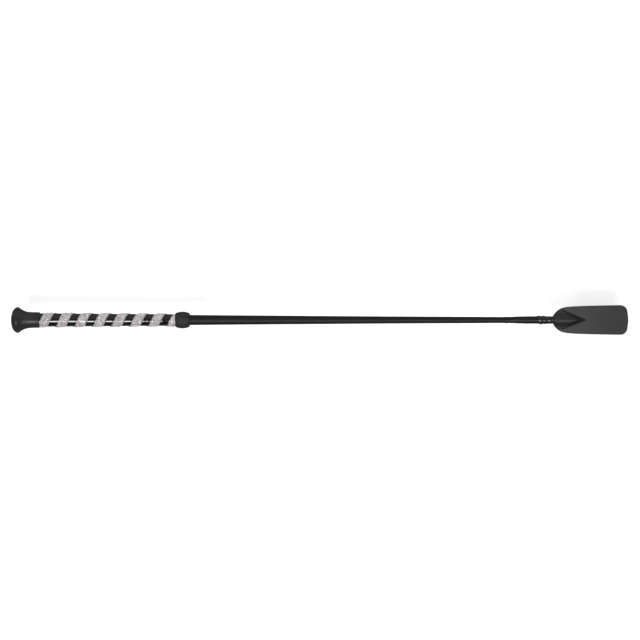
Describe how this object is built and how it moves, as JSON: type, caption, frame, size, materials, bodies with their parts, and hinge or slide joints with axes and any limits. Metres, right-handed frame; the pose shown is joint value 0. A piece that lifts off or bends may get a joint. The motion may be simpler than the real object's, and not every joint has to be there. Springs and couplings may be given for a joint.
{
  "type": "riding crop",
  "caption": "Tapered braided riding crop with a domed rubber cap, spiral stone-set glossy grip, woven knot collar and a flat leather tongue that bends.",
  "frame": {"origin": "middle of the grip on the shaft's axis", "axes": "+X along the shaft from the cap to the tongue's tip, +Z out of the tongue's patched face"},
  "size_m": [0.6501, 0.0314, 0.0274],
  "materials": {
    "cap_rubber": "matt moulded rubber",
    "fibreglass": "pultruded fibreglass rod",
    "core_foam": "build-up tube",
    "patent_skin": "high-gloss patent",
    "strip_mesh": "fine silver-grey mesh strip",
    "silver_edge": "bright metal edge line",
    "crystal": "faceted foil-backed stones",
    "filler_cord": "wound filler cord",
    "knot_cord": "matt woven lace",
    "braid_thread": "tight braided polished thread",
    "glossy_sleeve": "smooth shrunk sleeve",
    "glossy_lace": "varnished lace",
    "grained_leather": "pebble-grained leather",
    "smooth_leather": "smooth leather",
    "heavy_thread": "waxed heavy thread"
  },
  "bodies": {
    "crop": {"pommel_cap": "cap_rubber", "core_rod": "fibreglass", "handle_core": "core_foam", "grip_skin": "patent_skin", "diamante_backing": "strip_mesh", "diamante_edging": "silver_edge", "large_crystals": "crystal", "knot_foundation": "filler_cord", "knot_collar": "knot_cord", "shaft_padding": "filler_cord", "shaft_braid": "braid_thread", "tail_wrap": "glossy_sleeve", "binding_lace": "glossy_lace", "tongue_root": "grained_leather", "tongue_patch": "smooth_leather", "patch_stitching": "heavy_thread"},
    "tongue_end": {"tongue_flap": "grained_leather"}
  },
  "joints": [
    {"name": "tongue_bend", "type": "hinge", "parent": "crop", "child": "tongue_end", "pos_m": [0.50485, 0, -0.0032], "axis": [0, -1, 0], "range_deg": [-60, 60], "stiffness_Nm_per_rad": 0.12}
  ]
}
